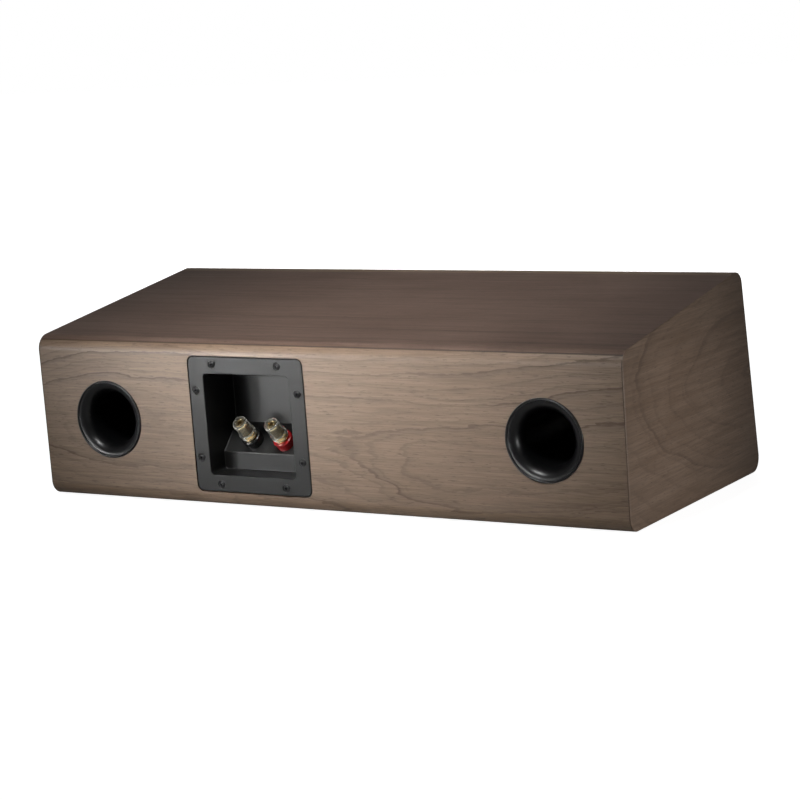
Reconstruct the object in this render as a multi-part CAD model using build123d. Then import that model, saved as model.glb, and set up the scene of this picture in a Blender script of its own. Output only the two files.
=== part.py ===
from build123d import *
import os
from math import asin, atan2, cos, pi, radians, sin, sqrt, tan

# Millimetres. X runs along the speaker, the front looks along -Y, Z is up.
# The origin is the middle of the flat bottom, on the surface that the speaker stands on.
# Left and right are those of somebody who looks at the front.

# Cabinet outline, seen from the end
length = 620.0
bottom_depth = 295.0
front_height = 196.0
rear_height = 156.0
front_setback = 35.0
rear_overhang = 6.0
edge_radius = 14.0

# Cabinet boards
wall = 18.0
baffle_thickness = 22.0
end_board = 18.0
end_lip = 1.2
end_edge_radius = 0.8
seam = 0.2
brace_thickness = 12.0
brace_web = 26.0
brace_corner = 12.0
brace_distance = length * 0.129
brace_rear_gap = 6.0
wadding_port_gap = 3.5
wadding_margin = 10.0
soft_gap = 0.3
cut_reach = 36.0
tip_gap = 1.0
bond_gap = 0.05
edge_reach = 0.01

# Reflex ports
port_distance = length * 0.375
port_lip_radius = 37.6
port_lip_rise = 1.4
port_mouth_radius = 35.4
port_bore_radius = 25.0
port_flare_length = 17.0
port_wall = 2.5
port_length = 108.0
port_flange = 3.0
port_hole_radius = 33.8
port_inner_flare = 5.0
fit_gap = 0.2
wadding_face = port_distance + port_bore_radius + port_wall + port_inner_flare + wadding_port_gap

# Terminal plate and its cup
plate_offset = length * 0.1155
plate_border = 16.0
plate_corner = 6.2
plate_thickness = 3.0
plate_gap = 0.9
plate_edge = 0.8
cup_width = 94.0
cup_height = 96.0
cup_corner = 3.6
cup_depth = 48.0
cup_wall = 2.5
cup_step_depth = 24.0
cup_step_height = 17.0
cup_slant = 45.0
cup_cutout_gap = 2.0
gasket_thickness = 1.5
gasket_inset = 1.0
plate_width = cup_width + 2 * plate_border
plate_height = cup_height + 2 * plate_border
plate_screw_inset = 7.0
plate_screw_across = (plate_width * 2 / 7, plate_width / 2 - plate_screw_inset)
plate_screw_up = (plate_height / 2 - plate_screw_inset, plate_height / 4)
plate_screw_recess = 0.9
screw_head_gap = 0.5

# Button head screws of the terminal plate
button_head_radius = 3.4
button_head_height = 2.3
button_rim_height = 0.4
button_socket_floor = 0.8
button_shank_radius = 1.75
button_length = 18.0
button_socket = 2.5
screw_gap = 0.05

# Binding posts
post_spacing = 35.0
post_up_panel = 12.8
collar_radius = 9.2
collar_height = 9.0
collar_neck_radius = 5.0
collar_bevel = 1.0
stud_radius = 3.0
stud_length = 31.6
stud_tail = 20.0
banana_radius = 2.0
banana_depth = 19.0
wire_hole_radius = 1.6
washer_radius = 6.9
washer_thickness = 1.4
clamp_gap = 0.1
thread_gap = 0.08
nut_core_radius = 5.6
nut_tip_radius = 4.5
nut_tip_height = 2.2
nut_tip_drop = 0.8
nut_flange_radius = 6.6
nut_flange_height = 2.2
sleeve_radius = 7.2
sleeve_wall = 1.2
sleeve_foot_radius = 8.2
sleeve_foot_height = 4.5
sleeve_top = 32.5
sleeve_edge = 1.2
sleeve_lip_height = 2.6
sleeve_foot_gap = 0.1
tail_washer_radius = 7.0
tail_washer_thickness = 2.0
tail_nut_flats = 10.0
tail_nut_height = 5.0
tag_thickness = 0.8
tag_radius = 5.5
tag_length = 15.0
tag_eye_radius = 1.2

# Woofers
woofer_distance = length * 0.284
frame_radius = 79.0
frame_flange = 5.0
frame_body_radius = 69.0
frame_hole_gap = 1.0
frame_back_radius = 56.0
frame_depth = 46.0
frame_plate = 4.0
frame_shoulder = 6.0
frame_taper = 3.0
frame_wall = 8.0
frame_web = 1.0
frame_spokes = 6
spoke_width = 13.0
window_top = 13.0
seat_radius = 62.0
seat_depth = 3.0
frame_lip_radius = 57.0
spider_seat_radius = 52.4
spider_seat_depth = 39.0
spider_seat_width = 6.0
spider_rim_height = 2.0
roll_radius = 51.5
roll_rise = 5.3
surround_skin = 0.8
cone_rim_outer = 46.6
cone_rim_inner = 43.2
cone_skin = 1.0
cone_neck_depth = 19.0
cone_sag = 1.6
dome_rise = 9.0
coil_radius = 25.0
former_wall = 0.4
former_gap = 0.6
former_end = 1.0
winding_build = 0.9
winding_length = 14.0
spider_waves = 3
spider_skin = 0.8
spider_wave_height = 1.4
top_plate_radius = 45.0
top_plate_thickness = 6.0
top_plate_gap_radius = 27.0
magnet_radius = 48.0
magnet_bore_radius = 33.0
magnet_thickness = 17.0
pole_radius = 23.7
pole_vent_radius = 7.0
pole_vent_flare = 2.0
pole_rise = 1.0
yoke_thickness = 6.0
yoke_bevel = 3.0
woofer_screws = 6
woofer_screw_circle = 73.5

# Cap head screws of the drivers
cap_head_radius = 3.6
cap_head_height = 2.6
cap_socket_floor = 0.9
cap_shank_radius = 2.1
cap_length = 17.0
cap_socket = 3.0

# Tweeter
tweeter_radius = 52.0
tweeter_plate = 4.0
tweeter_plate_edge = 0.8
tweeter_hole_radius = 38.0
horn_radius = 30.0
horn_depth = 3.0
horn_bow = 0.66
horn_throat_radius = 18.4
dome_radius = 14.0
dome_height = 5.0
dome_roll = 1.7
dome_skin = 0.35
dome_rim_radius = 21.5
dome_rim_gap = 1.0
dome_side_gap = 0.8
tweeter_boss = 2.0
tweeter_top_plate = 5.0
tweeter_motor_radius = 36.0
tweeter_magnet_bore = 20.0
tweeter_magnet_thickness = 10.0
tweeter_yoke = 5.0
tweeter_pole_radius = 13.2
tweeter_pole_drop = 1.0
tweeter_gap_radius = 15.5
tweeter_vent_radius = 4.0
tweeter_coil_length = 7.5
tweeter_coil_build = 0.5
tweeter_can_radius = 33.0
tweeter_can_depth = 24.0
tweeter_can_wall = 2.0
tweeter_screws = 4
tweeter_screw_circle = 46.0

# Crossover
board_end_gap = 8.0
board_width = 2 * (brace_distance - brace_thickness / 2 - board_end_gap)
board_depth = 92.0
board_thickness = 1.6
board_shift = 8.0
board_corner = 4.0
spacer_height = 8.0
spacer_radius = 4.0
board_screw_inset = 7.0
board_screw_radius = 1.6
board_screw_head = 3.2
board_screw_head_height = 2.0
board_screw_length = 16.0
air_coil_radius = 21.0
air_coil_bore = 11.0
air_coil_height = 22.0
small_coil_radius = 15.0
small_coil_bore = 7.0
small_coil_height = 16.0
big_capacitor_radius = 12.5
big_capacitor_length = board_width / 3
small_capacitor_radius = 8.0
small_capacitor_length = board_width / 4.7
resistor_length = 28.0
resistor_side = 10.0

# Places of the parts on the board, as shares of its width and depth from its middle
air_coil_spot = (-0.29, -0.15)
small_coil_spot = (0.08, -0.28)
big_capacitor_spots = ((-0.27, 0.28), (0.11, 0.28))
small_capacitor_spots = ((0.11, 0.02), (0.35, -0.33))
resistor_spots = ((0.33, -0.02), (0.33, 0.27))

# The four straight sides of the end outline, as corner points (y, z) in clockwise order
front_bottom = Vector(-bottom_depth / 2, 0)
front_top = Vector(-bottom_depth / 2 + front_setback, front_height)
rear_top = Vector(bottom_depth / 2 + rear_overhang, rear_height)
rear_bottom = Vector(bottom_depth / 2, 0)
corners = [front_bottom, front_top, rear_top, rear_bottom]

front_lean = atan2(front_setback, front_height)
rear_lean = atan2(rear_overhang, rear_height)

front_middle = (front_bottom + front_top) / 2
rear_middle = (rear_bottom + rear_top) / 2

# Working planes on the front and rear faces: local Y runs up the face, local Z points out of it
front_face = Plane(origin=(0, front_middle.X, front_middle.Y), x_dir=(1, 0, 0),
                   z_dir=(0, -cos(front_lean), sin(front_lean)))
rear_face = Plane(origin=(0, rear_middle.X, rear_middle.Y), x_dir=(-1, 0, 0),
                  z_dir=(0, cos(rear_lean), -sin(rear_lean)))


def crossing(first, second):
    """Point where two lines meet, each given as a point and a direction."""
    (start, along), (other, across) = first, second
    step = other - start
    share = (step.X * across.Y - step.Y * across.X) / (along.X * across.Y - along.Y * across.X)
    return start + along * share


def end_outline(front=0.0, top=0.0, rear=0.0, bottom=0.0):
    """Face of the end outline with each straight side moved inwards by its own distance."""
    lines = []
    for index, inset in enumerate((front, top, rear, bottom)):
        start = corners[index]
        along = (corners[(index + 1) % 4] - start).normalized()
        lines.append((start + Vector(along.Y, -along.X) * inset, along))
    points = [crossing(lines[index - 1], lines[index]) for index in range(4)]
    return make_face(Polyline(*[(point.X, point.Y) for point in points], close=True))


def rounded_outline():
    """Outer end outline with its four long edges rounded."""
    outline = end_outline()
    return fillet(outline.vertices(), edge_radius)


def along_x(outline, start, end):
    """An end outline drawn out from one X to another."""
    return extrude(Plane.YZ.offset(start) * outline, end - start)


def turned(*edges):
    """Solid of revolution about local Z, from edges drawn as (radius, height)."""
    return revolve(Plane.XZ * make_face(Curve() + list(edges)), Axis.Z)


def turned_outline(*points):
    """Solid of revolution about local Z from a closed outline of straight lines."""
    return turned(Polyline(*points, close=True))


def ring(outer, inner, low, high):
    """Plain ring or washer between two heights."""
    return turned_outline((inner, low), (outer, low), (outer, high), (inner, high))


def rod(radius, low, high):
    """Plain round bar between two heights."""
    return Pos(0, 0, low) * Cylinder(radius, high - low, align=(Align.CENTER, Align.CENTER, Align.MIN))


def hexagon(flats, low, high):
    """Hexagonal bar of a given width across flats, between two heights."""
    return Pos(0, 0, low) * extrude(RegularPolygon(flats / 2, 6, major_radius=False), high - low)


def slab(width, height, corner, low, high):
    """Rounded rectangle drawn out between two heights."""
    return Pos(0, 0, low) * extrude(RectangleRounded(width, height, corner), high - low)


def dome_arc(radius, low, rise):
    """Arc of a round dome, from its edge to its crown on the axis."""
    bow = (radius ** 2 + rise ** 2) / (2 * rise)
    half_angle = asin(radius / bow) / 2
    middle = (bow * sin(half_angle), low + rise - bow + bow * cos(half_angle))
    return ThreePointArc((radius, low), middle, (0, low + rise))


def around(count, radius, turn=0.0):
    """Places evenly spaced on a circle."""
    angles = [radians(turn + index * 360 / count) for index in range(count)]
    return [Pos(radius * cos(angle), radius * sin(angle), 0) for angle in angles]


def button_screw():
    """Button head screw with a hexagon socket, its head's underside at height 0."""
    head = turned(Line((0, 0), (button_head_radius, 0)),
                  Line((button_head_radius, 0), (button_head_radius, button_rim_height)),
                  dome_arc(button_head_radius, button_rim_height, button_head_height - button_rim_height),
                  Line((0, button_head_height), (0, 0)))
    screw = head + rod(button_shank_radius, -button_length, 0)
    return screw - hexagon(button_socket, button_socket_floor, cut_reach)


def cap_screw():
    """Cap head screw with a hexagon socket, its head's underside at height 0."""
    screw = rod(cap_head_radius, 0, cap_head_height) + rod(cap_shank_radius, -cap_length, 0)
    return screw - hexagon(cap_socket, cap_socket_floor, cut_reach)


# Places of the repeated pieces, each on its own face
plate_place = rear_face.location * Pos(-plate_offset, 0, 0)
port_places = {side: rear_face.location * Pos(-sign * port_distance, 0, 0)
               for side, sign in (("left", -1), ("right", 1))}
woofer_places = {side: front_face.location * Pos(sign * woofer_distance, 0, 0)
                 for side, sign in (("left", -1), ("right", 1))}
tweeter_place = front_face.location
plate_screw_places = [Pos(across * x, up * y, 0)
                      for x, y in zip(plate_screw_across, plate_screw_up)
                      for across in (-1, 1) for up in (-1, 1)]
board_low = wall + spacer_height
board_high = board_low + board_thickness
board_place = Pos(0, board_shift, 0)
board_screw_places = [Pos(across * (board_width / 2 - board_screw_inset), along * (board_depth / 2 - board_screw_inset))
                      for across in (-1, 1) for along in (-1, 1)]
woofer_screw_places = around(woofer_screws, woofer_screw_circle, 90)
tweeter_screw_places = around(tweeter_screws, tweeter_screw_circle, 45)


# Cabinet

def plate_recess():
    """Room in the rear board for the terminal plate, its gasket, its cup and its screws."""
    depth = plate_thickness + gasket_thickness
    room = slab(plate_width + 2 * plate_gap, plate_height + 2 * plate_gap, plate_corner + plate_gap, -depth, cut_reach)
    across = cup_width + 2 * (cup_wall + cup_cutout_gap)
    up = cup_height + 2 * (cup_wall + cup_cutout_gap)
    room += slab(across, up, cup_corner + cup_wall + cup_cutout_gap, -cut_reach, 0)
    tip = plate_screw_recess + button_length + tip_gap
    holes = [place * rod(button_shank_radius + screw_gap, -tip, 0) for place in plate_screw_places]
    return room + holes


def port_recess():
    """Hole for a port tube with the counterbore for its lip."""
    hole = rod(port_hole_radius + fit_gap, -cut_reach, 0)
    return hole + rod(port_lip_radius + fit_gap, -port_flange, cut_reach)


def cabinet_wrap():
    """Top, rear and bottom as one wrapped shell with rounded long edges, open at the front and ends."""
    half = length / 2 - end_lip - seam
    shell = along_x(rounded_outline(), -half, half)
    shell -= along_x(end_outline(-cut_reach, wall, wall, wall), -length, length)
    shell &= along_x(end_outline(baffle_thickness, -cut_reach, -cut_reach, -cut_reach), -length, length)
    shell -= plate_place * plate_recess()
    tip = board_high - board_screw_length - tip_gap
    shell -= [board_place * place * rod(board_screw_radius + screw_gap, tip, board_low) for place in board_screw_places]
    for place in port_places.values():
        shell -= place * port_recess()
    return shell


def driver_screw_hole():
    """Blind hole in the baffle for a driver's screw, whose head is sunk in the flange."""
    return rod(cap_shank_radius + screw_gap, -cap_head_height - cap_length - tip_gap, 0)


def woofer_recess():
    """Rebate, hole and screw holes in the baffle for a woofer."""
    room = rod(frame_radius + fit_gap, -frame_flange, cut_reach)
    room += rod(frame_body_radius + frame_hole_gap, -cut_reach, 0)
    holes = [place * driver_screw_hole() for place in woofer_screw_places]
    return room + holes


def tweeter_recess():
    """Rebate, hole and screw holes in the baffle for the tweeter."""
    room = rod(tweeter_radius + fit_gap, -tweeter_plate, cut_reach)
    room += rod(tweeter_hole_radius, -cut_reach, 0)
    holes = [place * driver_screw_hole() for place in tweeter_screw_places]
    return room + holes


def front_baffle():
    """Front board with rounded long edges, rebated for the drivers."""
    half = length / 2 - end_lip - seam
    board = along_x(rounded_outline(), -half, half)
    board -= along_x(end_outline(baffle_thickness, -cut_reach, -cut_reach, -cut_reach), -length, length)
    for place in woofer_places.values():
        board -= place * woofer_recess()
    return board - tweeter_place * tweeter_recess()


def side_panel(sign):
    """End board inside the wrap, with a thin lip that covers the ends of the wrap and the baffle."""
    outer = sign * length / 2
    lip = along_x(rounded_outline(), outer - sign * end_lip, outer)
    rim = lip.edges().filter_by_position(Axis.X, outer - edge_reach, outer + edge_reach)
    lip = fillet(rim, end_edge_radius)
    core = along_x(end_outline(baffle_thickness, wall, wall, wall), outer - sign * (end_lip + end_board),
                   outer - sign * end_lip)
    return lip + core


def brace(sign):
    """C shaped brace glued to top, bottom and baffle, which ends in front of the terminal cup."""
    near = sign * (brace_distance - brace_thickness / 2)
    far = sign * (brace_distance + brace_thickness / 2)
    board = end_outline(baffle_thickness, wall, cup_depth + cup_wall + brace_rear_gap, wall)
    window = end_outline(baffle_thickness + brace_web, wall + brace_web, -cut_reach, wall + brace_web)
    front_corners = window.vertices().sort_by(Axis.X)[:2]
    window = fillet(front_corners, brace_corner)
    return along_x(board - window, near, far)


def wadding(sign):
    """Soft damping pad that lines an end board."""
    inner = length / 2 - end_lip - end_board - soft_gap
    pad = end_outline(baffle_thickness + wadding_margin, wall + wadding_margin, wall + wadding_margin,
                      wall + soft_gap)
    return along_x(pad, sign * wadding_face, sign * inner)


# Ports

def port():
    """Port moulding: raised lip, flared mouth, straight tube and a small flare at its inner end."""
    mouth = port_lip_rise
    flare_foot = mouth - port_flare_length
    end = -port_length
    tube_outer = port_bore_radius + port_wall
    lip_round = (port_lip_radius - port_mouth_radius) / 2
    lip_side = mouth - lip_round
    return turned(
        Line((port_bore_radius, end + port_inner_flare), (port_bore_radius, flare_foot)),
        EllipticalCenterArc((port_mouth_radius, flare_foot), port_mouth_radius - port_bore_radius,
                            lip_side - flare_foot, 90, arc_size=90),
        ThreePointArc((port_mouth_radius, lip_side), (port_mouth_radius + lip_round, mouth),
                      (port_lip_radius, lip_side)),
        Polyline((port_lip_radius, lip_side), (port_lip_radius, -port_flange), (port_hole_radius, -port_flange),
                 (tube_outer, flare_foot - port_wall), (tube_outer, end + port_inner_flare),
                 (tube_outer + port_inner_flare, end), (port_bore_radius + port_inner_flare, end)),
        ThreePointArc((port_bore_radius + port_inner_flare, end),
                      (port_bore_radius + port_inner_flare * (1 - sqrt(0.5)),
                       end + port_inner_flare * (1 - sqrt(0.5))),
                      (port_bore_radius, end + port_inner_flare)))


# Terminal plate

def cup_block(grow):
    """Space of the terminal cup, or its outer form when grown by the wall."""
    block = slab(cup_width + 2 * grow, cup_height + 2 * grow, cup_corner + grow, -cup_depth - grow, 0)
    low = -cup_height / 2 - 2 * cup_wall
    step = cup_step_height - cup_height / 2
    ledge = -cup_step_depth - grow
    lean = grow * tan(radians(cup_slant) / 2)
    deep = ledge - 2 * cup_depth
    under = Polyline((low, ledge), (step - lean, ledge),
                     (step - lean + 2 * cup_depth / tan(radians(cup_slant)), deep), (low, deep), close=True)
    sketch = Plane(origin=(0, 0, 0), x_dir=(0, 1, 0), z_dir=(1, 0, 0)) * make_face(under)
    return block - extrude(sketch, cup_width, both=True)


def terminal_plate():
    """Square plate with the stepped terminal cup behind it, one moulding."""
    plate = slab(plate_width, plate_height, plate_corner, -plate_thickness, 0)
    plate = fillet(plate.edges().filter_by_position(Axis.Z, -edge_reach, edge_reach), plate_edge)
    plate += cup_block(cup_wall)
    plate -= cup_block(0)
    for place in plate_screw_places:
        plate -= place * rod(button_head_radius + screw_head_gap, -plate_screw_recess, cut_reach)
        plate -= place * rod(button_shank_radius + screw_gap, -cut_reach, cut_reach)
    for place in post_places.values():
        plate -= place * rod(collar_neck_radius + screw_gap, -2 * cup_wall, cup_wall)
    return plate


def terminal_gasket():
    """Flat foam gasket between the terminal plate and the rebate."""
    gasket = slab(plate_width - 2 * gasket_inset, plate_height - 2 * gasket_inset, plate_corner - gasket_inset,
                  -plate_thickness - gasket_thickness, -plate_thickness)
    gasket -= slab(cup_width + 2 * (cup_wall + cup_cutout_gap), cup_height + 2 * (cup_wall + cup_cutout_gap),
                   cup_corner + cup_wall + cup_cutout_gap, -cut_reach, 0)
    for place in plate_screw_places:
        gasket -= place * rod(button_shank_radius + screw_gap, -cut_reach, 0)
    return gasket


def terminal_screws():
    """The eight screws of the terminal plate."""
    return [plate_place * place * Pos(0, 0, -plate_screw_recess) * button_screw() for place in plate_screw_places]


# Binding posts: local Z stands on the slanted panel of the cup and points up and out of it

post_height = cup_step_height - cup_height / 2 + post_up_panel * cos(radians(cup_slant))
post_depth = cup_step_depth + post_up_panel * sin(radians(cup_slant))
post_places = {colour: Pos(sign * post_spacing / 2, post_height, -post_depth) * Rot(X=-cup_slant)
               for colour, sign in (("black", -1), ("red", 1))}
knob_foot = collar_height + washer_thickness + clamp_gap


def post_collar():
    """Coloured insulating collar with the neck that goes through the panel."""
    return turned_outline((stud_radius, -cup_wall), (collar_neck_radius, -cup_wall), (collar_neck_radius, 0),
                          (collar_radius, 0), (collar_radius, collar_height - collar_bevel),
                          (collar_radius - collar_bevel, collar_height), (stud_radius, collar_height))


def post_stud():
    """Threaded stud with the plug bore in its tip and a cross hole for bare wire."""
    stud = rod(stud_radius, -stud_tail, stud_length)
    stud -= rod(banana_radius, stud_length - banana_depth, 2 * stud_length)
    wire_hole = Rot(Y=90) * rod(wire_hole_radius, -2 * stud_radius, 2 * stud_radius)
    return stud - Pos(0, 0, knob_foot + wire_hole_radius) * wire_hole


def clamp_washer():
    """Captive washer under the knob, which rises with it and doesn't turn."""
    return ring(washer_radius, stud_radius + 2 * thread_gap, collar_height, collar_height + washer_thickness)


def knob_nut():
    """Metal core of the knob: a six-sided nut with a flange at its foot and a round tip."""
    foot = knob_foot + nut_flange_height
    top = sleeve_top - nut_tip_drop
    core = rod(nut_flange_radius, knob_foot, foot)
    core += hexagon(2 * nut_core_radius * cos(pi / 6), foot, top - nut_tip_height)
    core += rod(nut_tip_radius, top - nut_tip_height, top)
    return core - rod(stud_radius + thread_gap, 0, 2 * sleeve_top)


def knob_sleeve():
    """Clear sleeve moulded round the nut, with a wider foot and a rounded rim at its tip."""
    inner = sleeve_radius - sleeve_wall
    foot = knob_foot + nut_flange_height + sleeve_foot_gap
    foot_top = foot + sleeve_foot_height
    edge_low = sleeve_top - sleeve_edge
    edge_side = sleeve_radius - sleeve_edge
    lip_low = sleeve_top - sleeve_lip_height
    half_edge = sleeve_edge * sqrt(0.5)
    return turned(
        Polyline((inner, foot), (sleeve_foot_radius, foot), (sleeve_foot_radius, foot_top),
                 (sleeve_radius, foot_top + sleeve_foot_radius - sleeve_radius), (sleeve_radius, edge_low)),
        ThreePointArc((sleeve_radius, edge_low), (edge_side + half_edge, edge_low + half_edge), (edge_side, sleeve_top)),
        Polyline((edge_side, sleeve_top), (nut_core_radius, sleeve_top), (nut_core_radius, lip_low), (inner, lip_low),
                 (inner, foot)))


def tail_washer():
    """Insulating washer behind the panel."""
    low = -cup_wall - tail_washer_thickness
    return ring(tail_washer_radius, stud_radius, low, -cup_wall)


def solder_tag():
    """Flat tag on the stud's tail that the inside lead is soldered to."""
    high = -cup_wall - tail_washer_thickness
    tag = rod(tag_radius, high - tag_thickness, high)
    tag += Pos(tag_length / 2, 0, high - tag_thickness / 2) * Box(tag_length, tag_radius, tag_thickness)
    eye = Pos(tag_length - tag_radius / 2, 0, 0) * rod(tag_eye_radius, -stud_tail, 0)
    return tag - rod(stud_radius, -stud_tail, 0) - eye


def tail_nut():
    """Hexagon nut that holds the post in the panel."""
    high = -cup_wall - tail_washer_thickness - tag_thickness
    return hexagon(tail_nut_flats, high - tail_nut_height, high) - rod(stud_radius, -stud_tail, 0)


# Woofers: local Z points out of the baffle, with 0 at its face

def woofer_frame():
    """Cast frame: flange, spokes round open windows, spider seat and rear plate."""
    back = -frame_depth
    wall_top = seat_depth + frame_shoulder
    spider_ledge = spider_seat_radius - spider_seat_width
    plate_hole = top_plate_gap_radius + pole_vent_flare
    frame = turned_outline(
        (seat_radius, 0), (frame_radius, 0), (frame_radius, -frame_flange), (frame_body_radius, -frame_flange),
        (frame_body_radius, -wall_top), (frame_body_radius - frame_taper, -window_top - frame_web),
        (frame_back_radius, -spider_seat_depth - frame_web), (frame_back_radius, back),
        (plate_hole, back), (plate_hole, back + frame_plate),
        (spider_ledge, back + frame_plate), (spider_ledge, -spider_seat_depth),
        (spider_seat_radius, -spider_seat_depth), (spider_seat_radius, -spider_seat_depth + spider_rim_height),
        (frame_body_radius - frame_wall, -window_top + frame_web), (frame_lip_radius, -wall_top),
        (frame_lip_radius, -seat_depth), (seat_radius, -seat_depth))
    windows = ring(2 * frame_radius, spider_ledge, -spider_seat_depth + spider_rim_height + frame_web, -window_top)
    spoke = Pos(frame_radius / 2, 0, -frame_depth / 2) * Box(frame_radius, spoke_width, frame_depth)
    windows -= [Rot(Z=index * 360 / frame_spokes) * spoke for index in range(frame_spokes)]
    frame -= windows
    for place in woofer_screw_places:
        frame -= place * rod(cap_head_radius + screw_head_gap, -cap_head_height, cut_reach)
        frame -= place * rod(cap_shank_radius + screw_gap, -2 * frame_flange, cut_reach)
    return frame


def woofer_surround():
    """Half roll rubber surround between the frame's seat and the rim of the cone."""
    low = -seat_depth
    high = low + surround_skin
    chord = sqrt(roll_rise ** 2 - surround_skin ** 2)
    inner_rise = roll_rise - surround_skin
    outer_edge = seat_radius - fit_gap
    return turned(
        Line((roll_radius + inner_rise, low), (outer_edge, low)),
        Line((outer_edge, low), (outer_edge, high)),
        Line((outer_edge, high), (roll_radius + chord, high)),
        ThreePointArc((roll_radius + chord, high), (roll_radius, low + roll_rise), (roll_radius - chord, high)),
        Line((roll_radius - chord, high), (cone_rim_inner, high)),
        Line((cone_rim_inner, high), (cone_rim_inner, low)),
        Line((cone_rim_inner, low), (roll_radius - inner_rise, low)),
        ThreePointArc((roll_radius - inner_rise, low), (roll_radius, low + inner_rise),
                      (roll_radius + inner_rise, low)))


def woofer_cone():
    """One-piece cone with a flat rim, a curved flank and a wide dome in the middle."""
    front = -seat_depth
    neck = -cone_neck_depth

    def skin(shift):
        middle_radius = (cone_rim_inner + coil_radius) / 2 - cone_sag
        middle = (front + neck) / 2 - cone_sag
        flank = ThreePointArc((cone_rim_inner, front + shift), (middle_radius, middle + shift),
                              (coil_radius, neck + shift))
        return flank, dome_arc(coil_radius, neck + shift, dome_rise)

    return turned(Line((cone_rim_outer, front), (cone_rim_inner, front)), *skin(0), *skin(-cone_skin),
                  Line((0, neck + dome_rise), (0, neck + dome_rise - cone_skin)),
                  Line((cone_rim_inner, front - cone_skin), (cone_rim_outer, front - cone_skin)),
                  Line((cone_rim_outer, front - cone_skin), (cone_rim_outer, front)))


gap_middle = -frame_depth - top_plate_thickness / 2


def voice_coil():
    """Coil former under the neck of the cone, with its winding in the magnet's gap."""
    low = gap_middle - winding_length / 2
    high = -cone_neck_depth - cone_skin - former_gap
    former = ring(coil_radius + former_wall / 2, coil_radius - former_wall / 2, low - former_end, high)
    winding = ring(coil_radius + former_wall / 2 + winding_build, coil_radius - former_wall / 2, low,
                   low + winding_length)
    return former + winding


def woofer_spider():
    """Corrugated spider that centres the coil former on the frame."""
    inner = coil_radius + former_wall / 2 + bond_gap
    outer = spider_seat_radius - fit_gap
    base = -spider_seat_depth
    rim = spider_seat_radius - spider_seat_width - fit_gap
    step = (rim - inner) / (2 * spider_waves + 1)
    lower = [(inner, base)]
    for index in range(1, 2 * spider_waves + 1):
        rise = spider_wave_height if index % 2 else -spider_wave_height / 2
        lower.append((inner + index * step, base + rise))
    lower += [(rim, base), (outer, base)]
    upper = [(radius, height + spider_skin) for radius, height in reversed(lower)]
    return turned_outline(*lower, *upper)


def woofer_top_plate():
    """Steel top plate of the magnet system, on the frame's rear plate."""
    return ring(top_plate_radius, top_plate_gap_radius, -frame_depth - top_plate_thickness, -frame_depth)


def woofer_magnet():
    """Ferrite ring magnet."""
    high = -frame_depth - top_plate_thickness
    return ring(magnet_radius, magnet_bore_radius, high - magnet_thickness, high)


def woofer_yoke():
    """Steel back plate and vented pole, one turned piece."""
    high = -frame_depth - top_plate_thickness - magnet_thickness
    low = high - yoke_thickness
    pole_top = -frame_depth + pole_rise
    return turned_outline((pole_vent_radius, low), (top_plate_radius - yoke_bevel, low),
                          (top_plate_radius, low + yoke_bevel), (top_plate_radius, high), (pole_radius, high),
                          (pole_radius, pole_top), (pole_vent_radius + pole_vent_flare, pole_top),
                          (pole_vent_radius, pole_top - pole_vent_flare))


def driver_screws(driver_place, places, sink):
    """Screws of one driver, their heads sunk below the flange's face."""
    return [driver_place * place * Pos(0, 0, -sink) * cap_screw() for place in places]


# Tweeter: local Z points out of the baffle, with 0 at its face

tweeter_seat = -tweeter_plate - tweeter_boss


def tweeter_faceplate():
    """Round faceplate with a shallow horn round the dome and a boss behind."""
    boss_inner = dome_rim_radius + dome_rim_gap
    horn_middle = (horn_radius + horn_throat_radius) / 2
    plate = turned(
        Line((horn_throat_radius, -horn_depth), (horn_throat_radius, -tweeter_plate)),
        Line((horn_throat_radius, -tweeter_plate), (boss_inner, -tweeter_plate)),
        Line((boss_inner, -tweeter_plate), (boss_inner, tweeter_seat)),
        Line((boss_inner, tweeter_seat), (tweeter_motor_radius, tweeter_seat)),
        Line((tweeter_motor_radius, tweeter_seat), (tweeter_motor_radius, -tweeter_plate)),
        Line((tweeter_motor_radius, -tweeter_plate), (tweeter_radius, -tweeter_plate)),
        Line((tweeter_radius, -tweeter_plate), (tweeter_radius, -tweeter_plate_edge)),
        Line((tweeter_radius, -tweeter_plate_edge), (tweeter_radius - tweeter_plate_edge, 0)),
        Line((tweeter_radius - tweeter_plate_edge, 0), (horn_radius, 0)),
        ThreePointArc((horn_radius, 0), (horn_middle, -horn_depth / 2 - horn_bow), (horn_throat_radius, -horn_depth)))
    for place in tweeter_screw_places:
        plate -= place * rod(cap_head_radius + screw_head_gap, -cap_head_height, cut_reach)
        plate -= place * rod(cap_shank_radius + screw_gap, -2 * tweeter_plate, cut_reach)
    return plate


def tweeter_dome():
    """Soft dome with its roll and flat rim, pressed from one cloth."""
    low = tweeter_seat
    roll = (horn_throat_radius - dome_side_gap - dome_radius) / 2
    roll_middle = dome_radius + roll

    def skin(shift):
        base = low + shift
        return (dome_arc(dome_radius, base, dome_height),
                ThreePointArc((dome_radius, base), (roll_middle, base + dome_roll), (dome_radius + 2 * roll, base)),
                Line((dome_radius + 2 * roll, base), (dome_rim_radius, base)))

    return turned(*skin(0), Line((dome_rim_radius, low), (dome_rim_radius, low + dome_skin)), *skin(dome_skin),
                  Line((0, low + dome_height), (0, low + dome_height + dome_skin)))


def tweeter_coil():
    """Tweeter voice coil, hung from the rim of the dome."""
    high = tweeter_seat - bond_gap
    return ring(dome_radius + tweeter_coil_build, dome_radius, high - tweeter_coil_length, high)


def tweeter_top_ring():
    """Steel top plate of the tweeter's magnet system."""
    return ring(tweeter_motor_radius, tweeter_gap_radius, tweeter_seat - tweeter_top_plate, tweeter_seat)


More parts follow.
